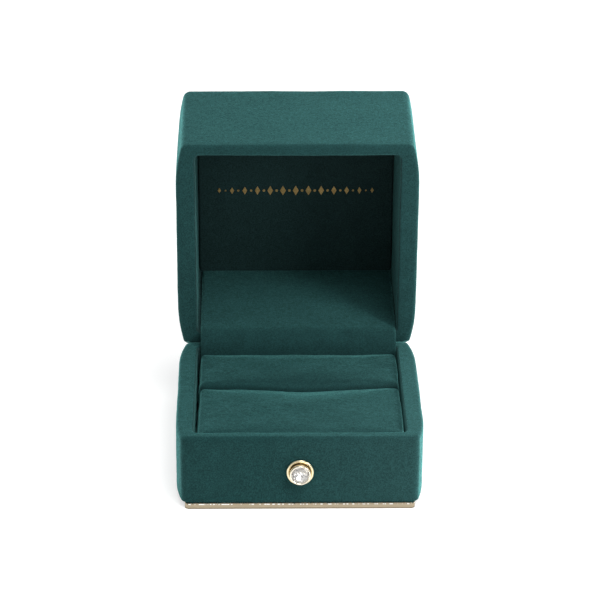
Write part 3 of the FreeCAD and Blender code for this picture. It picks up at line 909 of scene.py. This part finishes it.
def flap_path():
    """Middle line of the flap in (y, z), up behind the pad, over the rims and back along the
    lid, and the two points between which it is free."""
    low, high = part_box("flap_base")
    shut_low, shut_high = shut_box("flap_lid")
    y_wall = (low.y + high.y) / 2
    y_lid = (shut_low[1] + shut_high[1]) / 2
    lift = Vector((y_wall, high.z - 0.8 * MM))
    land, end = [Vector(opened([[0, y_lid, z]])[0][1:])
                 for z in (shut_low[2] + FLAP_LANDING, shut_high[2] + FLAP_TUCK)]
    points = [Vector((y_wall, z)) for z in np.linspace(low.z, lift.y, 10)[:-1]]
    up = Vector((0.0, 3.0 * MM))
    back = (end - land).normalized() * 3.0 * MM
    for t in np.linspace(0, 1, 22):
        a, b = (1 - t) ** 3, 3 * t * (1 - t) ** 2
        c, d = 3 * t * t * (1 - t), t ** 3
        points.append(lift * a + (lift + up) * b + (land - back) * c + land * d)
    points += [land.lerp(end, t) for t in np.linspace(0, 1, 44)[1:]]
    return points, lift, land


def hinge_flap():
    """One velvet strip, glued to both rear walls, that covers the hinge."""
    s = bpy.context.scene.ring_box_sizes
    points, lift, land = flap_path()
    side = s.cavity_half_w - 0.65 * MM
    rings = []
    for i, point in enumerate(points):
        before, after = points[max(i - 1, 0)], points[min(i + 1, len(points) - 1)]
        along = (after - before).normalized()
        normal = Vector((-along.y, along.x))
        up_row, down_row = [], []
        for x in np.linspace(-side, side, 88):
            edge = min(1.0, (side - abs(x)) / (0.5 * MM))
            depth = FLAP_T / 2 * math.sqrt(max(0.03, 1 - (1 - edge) ** 2))
            wave = 0.10 * MM * noise.noise(Vector((x, point.x, point.y)) / (8 * MM))
            up_row.append((x + s.pad_offset, *(point + normal * (depth + wave))))
            down_row.append((x + s.pad_offset, *(point - normal * depth)))
        rings.append(np.array(up_row + down_row[::-1]))
    piece = link(ring_mesh("hinge_flap", rings, rings[0].mean(0), rings[-1].mean(0)), "hinge_flap")
    ruffle(piece.data, [(0.04, 1.6)], 5)
    paint(piece, lid_pile())
    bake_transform(piece)
    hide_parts("flap_base", "flap_lid")


class RINGBOX_OT_flap(Operator):
    """Make the velvet strip that covers the hinge"""
    bl_idname = "ringbox.flap"
    bl_label = "Hinge Flap"

    def execute(self, context):
        hinge_flap()
        return {"FINISHED"}


# --- lid lining and foil -------------------------------------------------------------------

LINING_CROWN = 0.3 * MM


def lid_lining():
    """Velvet-wrapped panel in the lid: edges turned over its card, a slight crown."""
    s = bpy.context.scene.ring_box_sizes
    low, high = shut_box("lid_roof_velvet")
    roll = 0.55 * MM
    centre = (low + high) / 2
    half = (high - low) / 2
    half[0] = s.cavity_half_w - 0.15 * MM

    def outline(inset, z):
        """Rounded rectangle at one height, from its front right corner on."""
        r = max(s.cavity_r - inset, 0.3 * MM)
        arcs = []
        for x, y, start in ((1, -1, -90), (1, 1, 0), (-1, 1, 90), (-1, -1, 180)):
            hub = np.array([x, y]) * (half[:2] - inset - r)
            angles = np.radians(start + np.arange(7) * 15.0)
            arcs.append(hub + r * np.stack([np.cos(angles), np.sin(angles)], axis=1))
        points = []
        for arc, following in zip(arcs, arcs[1:] + arcs[:1]):
            run = np.linspace(0, 1, 40)[1:-1, None]
            points += [arc, arc[-1] + (following[0] - arc[-1]) * run]
        flat = np.concatenate(points) + centre[:2]
        return np.hstack([flat, np.full((len(flat), 1), z)])

    face = low[2]
    rings = [outline(0.2 * MM, high[2]), outline(0.0, high[2] - 0.1 * MM)]
    rings += [outline(roll * (1 - math.cos(a)), face + roll * (1 - math.sin(a))) for a in arc_steps(6)]
    last = rings[-1]
    middle = np.array([*centre[:2], face - LINING_CROWN])
    for share in np.linspace(1, 0.04, 30)[1:]:
        ring = middle + (last - middle) * share
        ring[:, 2] = face - LINING_CROWN * (1 - share ** 4)
        rings.append(ring)
    back = np.array([*centre[:2], high[2]])
    poles = opened([back, middle])
    rings = [opened(ring) for ring in rings]
    piece = link(ring_mesh("lid_lining_panel", rings, poles[0], poles[1]), "lid_lining_panel")
    ruffle(piece.data, [(0.06, 7.0), (0.03, 1.6)], 6)
    paint(piece, lining())
    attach(piece, LID_BODY)
    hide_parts("lid_roof_velvet")


def foil_tree(material):
    """Geometry Nodes: a row of foil motifs that alternate between lozenge and dot and shrink
    towards both ends."""
    tree, start = new_tree("foil_row", (("Half Width", "NodeSocketFloat", 21.3 * MM),
                                        ("Motif Height", "NodeSocketFloat", 1.5 * MM),
                                        ("Thickness", "NodeSocketFloat", 0.08 * MM),
                                        ("Count", "NodeSocketInt", 21)))
    row = point_row(tree, start)
    odd = add_node(tree, "ShaderNodeMath", {"operation": "MODULO"}, {1: 2.0},
                   {0: add_node(tree, "GeometryNodeInputIndex")})
    even = add_node(tree, "ShaderNodeMath", {"operation": "SUBTRACT"}, {0: 1.0}, {1: odd})
    spot = add_node(tree, "ShaderNodeSeparateXYZ", links={0: add_node(tree, "GeometryNodeInputPosition")})
    out = add_node(tree, "ShaderNodeMath", {"operation": "DIVIDE"}, links={0: spot, 1: start["Half Width"]})
    square = add_node(tree, "ShaderNodeMath", {"operation": "MULTIPLY"}, links={0: out, 1: out})
    taper = add_node(tree, "ShaderNodeMath", {"operation": "MULTIPLY_ADD"}, {1: -0.45, 2: 1.0}, {0: square})
    tall = add_node(tree, "ShaderNodeMath", {"operation": "MULTIPLY"},
                    links={0: taper, 1: start["Motif Height"]})
    joined = add_node(tree, "GeometryNodeJoinGeometry")
    for sides, chosen, wide, high in ((4, even, 0.55, 1.0), (20, odd, 0.26, 0.26)):
        shape = add_node(tree, "GeometryNodeMeshCylinder", values={"Vertices": sides, "Radius": 1.0},
                         links={"Depth": start["Thickness"]})
        size = add_node(tree, "ShaderNodeVectorMath", {"operation": "MULTIPLY_ADD"},
                        {0: (wide, high, 0.0), 2: (0.0, 0.0, 1.0)}, {1: tall})
        placed = add_node(tree, "GeometryNodeInstanceOnPoints",
                          links={"Points": row, "Selection": chosen, "Instance": shape, "Scale": size})
        tree.links.new(placed.outputs[0], joined.inputs[0])
    return end_tree(tree, joined, material)


def foil_ornament():
    """Row of foil motifs stamped across the middle of the lid's lining."""
    s = bpy.context.scene.ring_box_sizes
    colours = bpy.context.scene.ring_box_colours
    piece = grow("foil_ornament", foil_tree(hot_foil("hot_stamped_foil", colours.foil)),
                 {"Half Width": s.foil_half_w, "Count": s.foil_count})
    low, high = shut_box("foil_mark")
    on_crown = low[2] - LINING_CROWN - 0.02 * MM
    place = np.array([0.0, (low[1] + high[1]) / 2, on_crown])
    move_points(piece.data, opened(points_of(piece.data) + place))
    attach(piece, LID_BODY)
    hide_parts("foil_mark")


class RINGBOX_OT_lining(Operator):
    """Make the lid's lining panel and its foil ornament"""
    bl_idname = "ringbox.lining"
    bl_label = "Lid Lining"

    def execute(self, context):
        lid_lining()
        foil_ornament()
        return {"FINISHED"}


# --- stud ----------------------------------------------------------------------------------

# how far the ring's face is sunk round the cup
STUD_DISH = 0.35 * MM


def stud_place():
    """Where the stud's axis meets the front wall."""
    low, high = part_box("stud_flange")
    return np.array([(low.x + high.x) / 2, high.y, (low.z + high.z) / 2])


def radius_of(node):
    low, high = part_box(node)
    return (high.x - low.x) / 2


def stud_ring():
    """Turned ring with a rolled lip, its face dished towards the cup."""
    low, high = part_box("stud_flange")
    r, cup, rise = radius_of("stud_flange"), radius_of("stud_bezel"), high.y - low.y
    hole, lip = 0.9 * MM, 0.3 * MM
    profile = [(hole, 0.0), (r - lip, 0.0)]
    profile += [(r - lip + lip * math.sin(a * 2), rise - lip - lip * math.cos(a * 2))
                for a in arc_steps(9)]
    dish = rise - STUD_DISH
    profile += [(cup + 0.13 * MM, rise - 0.05 * MM), (cup + 0.06 * MM, dish), (hole, dish)]
    piece = lathe("stud_ring", profile, stud_place())
    colours = bpy.context.scene.ring_box_colours
    paint(piece, polished_gilt("polished_gilt", colours.gilt_bright, 0.28))
    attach(piece, BASE_BODY)
    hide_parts("stud_flange")


def stud_cup():
    """Turned cup on its post: a rounded rim, and a cone inside that seats the stone."""
    origin = stud_place()
    low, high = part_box("stud_bezel")
    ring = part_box("stud_flange")
    cup, seat = radius_of("stud_bezel"), radius_of("stud_crystal")
    front, post_end = origin[1] - low.y, origin[1] - high.y
    post_r, edge, rim = 1.0 * MM, 0.2 * MM, (cup - seat) / 2
    dish = ring[1].y - ring[0].y - STUD_DISH
    profile = [(post_r, post_end), (post_r, dish), (cup - 0.25 * MM, dish + 0.02 * MM),
               (cup, dish + 0.25 * MM)]
    profile += [(cup - rim + rim * math.cos(a * 2), front - edge + edge * math.sin(a * 2))
                for a in arc_steps(9)]
    profile += [(seat * 0.98, front - 0.75 * MM), (seat * 0.25, front - 1.9 * MM)]
    piece = lathe("stud_cup", profile, origin)
    colours = bpy.context.scene.ring_box_colours
    paint(piece, polished_gilt("polished_pale_gilt", colours.gilt_pale, 0.22))
    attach(piece, BASE_BODY)
    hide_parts("stud_bezel")


def stud_stone():
    """Round brilliant: table, star, kite and girdle facets, and a silvered pavilion."""
    low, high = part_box("stud_crystal")
    origin = stud_place()
    r = (high.x - low.x) / 2
    out = origin[1] - low.y
    crown, girdle, pavilion = 0.75 * MM, 0.1 * MM, 1.0 * MM
    sides = 8

    def ring(radius, depth, count, turn):
        step = 2 * math.pi / count
        return [(origin[0] + radius * math.cos(step * (i + turn)), origin[1] - depth,
                 origin[2] + radius * math.sin(step * (i + turn))) for i in range(count)]

    # table and kites are shares of the stone's radius, as on a round brilliant
    table = ring(r * 0.56, out, sides, 0.0)
    kite = ring(r * 0.76, out - crown * 0.52, sides, 0.5)
    top = ring(r, out - crown, sides * 2, 0.0)
    bottom = ring(r, out - crown - girdle, sides * 2, 0.0)
    culet = (origin[0], origin[1] - (out - crown - girdle - pavilion), origin[2])
    verts = table + kite + top + bottom + [culet]
    k0, t0, b0, tip = sides, 2 * sides, 4 * sides, 6 * sides
    faces = [tuple(range(sides))]
    for i in range(sides):
        j = (i + 1) % sides
        left, mid, right = t0 + 2 * i, t0 + 2 * i + 1, t0 + (2 * i + 2) % (2 * sides)
        faces.append((i, k0 + i, j))
        faces.append((k0 + i, left, mid))
        faces.append((k0 + i, mid, right))
        faces.append((j, k0 + i, right, k0 + j))
    for i in range(2 * sides):
        j = (i + 1) % (2 * sides)
        faces.append((t0 + i, b0 + i, b0 + j, t0 + j))
        faces.append((b0 + i, tip, b0 + j))
    mesh = bpy.data.meshes.new("stud_stone")
    mesh.from_pydata(verts, [], faces)
    piece = link(tidy_mesh(mesh, smooth=False), "stud_stone")
    paint(piece, cut_crystal("cut_lead_crystal"), silvering("silvered_back"))
    back = origin[1] - (out - crown - girdle)
    for polygon in piece.data.polygons:
        polygon.material_index = 1 if polygon.center.y > back + 0.02 * MM else 0
    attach(piece, BASE_BODY)
    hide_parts("stud_crystal")


class RINGBOX_OT_stud(Operator):
    """Make the crystal stud on the front"""
    bl_idname = "ringbox.stud"
    bl_label = "Stud"

    def execute(self, context):
        stud_ring()
        stud_cup()
        stud_stone()
        return {"FINISHED"}


# --- hem -----------------------------------------------------------------------------------

def hem_tree(material):
    """Geometry Nodes: tufts of pile along a line, each a thin cone with its own lean and length."""
    tree, start = new_tree("hem_fringe", (("Half Width", "NodeSocketFloat", 29.2 * MM),
                                          ("Fibre Length", "NodeSocketFloat", 0.4 * MM),
                                          ("Fibre Radius", "NodeSocketFloat", 0.1 * MM),
                                          ("Count", "NodeSocketInt", 260),
                                          ("Seed", "NodeSocketInt", 3)))
    jitter = add_node(tree, "FunctionNodeRandomValue", {"data_type": "FLOAT_VECTOR"},
                      {0: (-0.3 * MM, -0.08 * MM, -0.1 * MM), 1: (0.3 * MM, 0.04 * MM, 0.1 * MM)},
                      {"Seed": start["Seed"]})
    moved = add_node(tree, "GeometryNodeSetPosition",
                     links={"Geometry": point_row(tree, start), "Offset": jitter})
    fibre = add_node(tree, "GeometryNodeMeshCone", values={"Vertices": 6},
                     links={"Radius Bottom": start["Fibre Radius"], "Depth": start["Fibre Length"]})
    # the fibres hang, so each is turned nearly upside down
    lean = add_node(tree, "FunctionNodeRandomValue", {"data_type": "FLOAT_VECTOR"},
                    {0: (2.3, -0.7, 0.0), 1: (3.0, 0.7, 0.0)}, {"Seed": start["Seed"]})
    size = add_node(tree, "FunctionNodeRandomValue", {"data_type": "FLOAT"}, {2: 0.5, 3: 1.4},
                    {"Seed": start["Seed"]})
    grown = add_node(tree, "GeometryNodeInstanceOnPoints",
                     links={"Points": moved, "Instance": fibre, "Rotation": lean,
                            "Scale": size.outputs[1]})
    return end_tree(tree, grown, material)


class RINGBOX_OT_hem(Operator):
    """Make the pile that stands out along the front hem, over the plate's edge"""
    bl_idname = "ringbox.hem"
    bl_label = "Front Hem"

    def execute(self, context):
        s = context.scene.ring_box_sizes
        piece = grow("front_hem_pile", hem_tree(velvet()), {"Half Width": s.end_half_w - 1.2 * MM})
        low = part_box("base_velvet")[0]
        place = np.array([0.0, low.y + 0.02 * MM, low.z + 0.1 * MM])
        move_points(piece.data, points_of(piece.data) + place)
        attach(piece, BASE_BODY)
        return {"FINISHED"}


# --- plate and hidden hardware -------------------------------------------------------------

class RINGBOX_OT_hardware(Operator):
    """Finish the metal plate, the moulded shells, the boards and the hinge"""
    bl_idname = "ringbox.hardware"
    bl_label = "Plate and Hardware"

    def execute(self, context):
        colours = context.scene.ring_box_colours
        low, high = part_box("base_plate")
        gilt = plate_gilt("satin_gilt_plate", colours.gilt_satin, low.z, high.z)
        steel = rolled_steel("rolled_hinge_steel", colours.steel)
        plastic = moulded_plastic("moulded_polystyrene", colours.plastic)
        board = pressed_board("greyboard", colours.board)
        finishes = {gilt: ["base_plate"], plastic: ["base_core", "lid_core"],
                    board: ["pad_board", "lid_roof_card"],
                    steel: ["hinge_base_leaf", "hinge_lid_leaf", "hinge_pin", "hinge_spring",
                            "base_hinge_rivets", "lid_hinge_rivets", "stud_washer"]}
        for material, names in finishes.items():
            for name in names:
                paint(frame["nodes"][name], material)
        return {"FINISHED"}


# --- stage ---------------------------------------------------------------------------------

def soft_light(name, place, target, size, power):
    lamp = bpy.data.lights.new(name, "AREA")
    lamp.shape = "DISK"
    lamp.size = size
    lamp.energy = power
    light = bpy.data.objects.new(name, lamp)
    bpy.context.scene.collection.objects.link(light)
    light.location = place
    light.visible_camera = False
    light.rotation_euler = (Vector(target) - Vector(place)).to_track_quat("-Z", "Y").to_euler()


def camera():
    """Long lens, a little above the box."""
    elevation, azimuth, roll = (math.radians(angle) for angle in (23.56, -0.93, 0.2))
    distance = 0.732
    target = Vector((0.0, 0.0, 0.040))
    data = bpy.data.cameras.new("camera")
    eye = bpy.data.objects.new("camera", data)
    bpy.context.scene.collection.objects.link(eye)
    away = Vector((math.sin(azimuth), -math.cos(azimuth), math.tan(elevation))).normalized()
    eye.location = target + away * distance
    aim = (target - eye.location).to_track_quat("-Z", "Y")
    eye.rotation_euler = (aim.to_matrix() @ Matrix.Rotation(roll, 3, "Z")).to_euler()
    data.sensor_width = 36
    data.lens = 168.1
    data.shift_x = 0.0021
    data.shift_y = 0.0304
    data.clip_start, data.clip_end = 0.01, 20
    bpy.context.scene.camera = eye


def floor():
    mesh = bpy.data.meshes.new("floor")
    half = 6.0
    corners = [(-half, -half, 0), (half, -half, 0), (half, half, 0), (-half, half, 0)]
    mesh.from_pydata(corners, [], [(0, 1, 2, 3)])
    piece = link(mesh, "floor")
    # lit from below as well, like a shooting table, so that it stays white
    material = new_material("white_acrylic", {"Base Color": (0.62, 0.62, 0.62, 1), "Roughness": 0.9,
                                              "Specular IOR Level": 0.1, "Emission Strength": 0.58,
                                              "Emission Color": (1, 1, 1, 1)})[0]
    paint(piece, material)


def sky():
    """White studio: bright overhead, dim towards the horizon."""
    world = bpy.data.worlds.new("studio")
    world.use_nodes = True
    tree = world.node_tree
    tree.nodes.clear()
    place = add_node(tree, "ShaderNodeTexCoord")
    split = add_node(tree, "ShaderNodeSeparateXYZ", links={"Vector": place.outputs["Generated"]})
    glow = add_node(tree, "ShaderNodeMapRange", values={"To Min": 0.04, "To Max": 0.9},
                    links={"Value": split.outputs["Z"]})
    light = add_node(tree, "ShaderNodeBackground", values={"Strength": 1.0}, links={"Color": glow})
    add_node(tree, "ShaderNodeOutputWorld", links={"Surface": light})
    bpy.context.scene.world = world


class RINGBOX_OT_stage(Operator):
    """Set up the camera, the soft lights and the pale floor"""
    bl_idname = "ringbox.stage"
    bl_label = "Stage"

    def execute(self, context):
        camera()
        floor()
        soft_light("high_front", (0.18, -0.42, 0.85), (0, 0.02, 0.03), 0.4, 3.8)
        soft_light("above", (0.1, 0.25, 0.85), (0, 0.02, 0.03), 0.5, 1.6)
        soft_light("low_right", (0.22, -0.18, 0.15), (0, 0, 0.02), 0.12, 0.40)
        sky()
        context.scene.view_settings.view_transform = "Standard"
        return {"FINISHED"}


# --- add-on --------------------------------------------------------------------------------

STEPS = (RINGBOX_OT_pads, RINGBOX_OT_wraps, RINGBOX_OT_flap, RINGBOX_OT_lining, RINGBOX_OT_stud,
         RINGBOX_OT_hem, RINGBOX_OT_hardware, RINGBOX_OT_stage)


class RINGBOX_PT_panel(Panel):
    """Lists the steps of the ring box"""
    bl_label = "Ring Box"
    bl_idname = "RINGBOX_PT_panel"
    bl_space_type = "VIEW_3D"
    bl_region_type = "UI"
    bl_category = "Ring Box"

    def draw(self, context):
        for step in STEPS:
            self.layout.operator(step.bl_idname)


CLASSES = (RINGBOX_PG_sizes, RINGBOX_PG_colours, *STEPS, RINGBOX_PT_panel)


def register():
    for cls in CLASSES:
        bpy.utils.register_class(cls)
    bpy.types.Scene.ring_box_sizes = PointerProperty(type=RINGBOX_PG_sizes)
    bpy.types.Scene.ring_box_colours = PointerProperty(type=RINGBOX_PG_colours)


def unregister():
    del bpy.types.Scene.ring_box_colours
    del bpy.types.Scene.ring_box_sizes
    for cls in reversed(CLASSES):
        bpy.utils.unregister_class(cls)


def main():
    register()
    for step in STEPS:
        group, name = step.bl_idname.split(".")
        getattr(getattr(bpy.ops, group), name)()


if __name__ == "__main__":
    main()
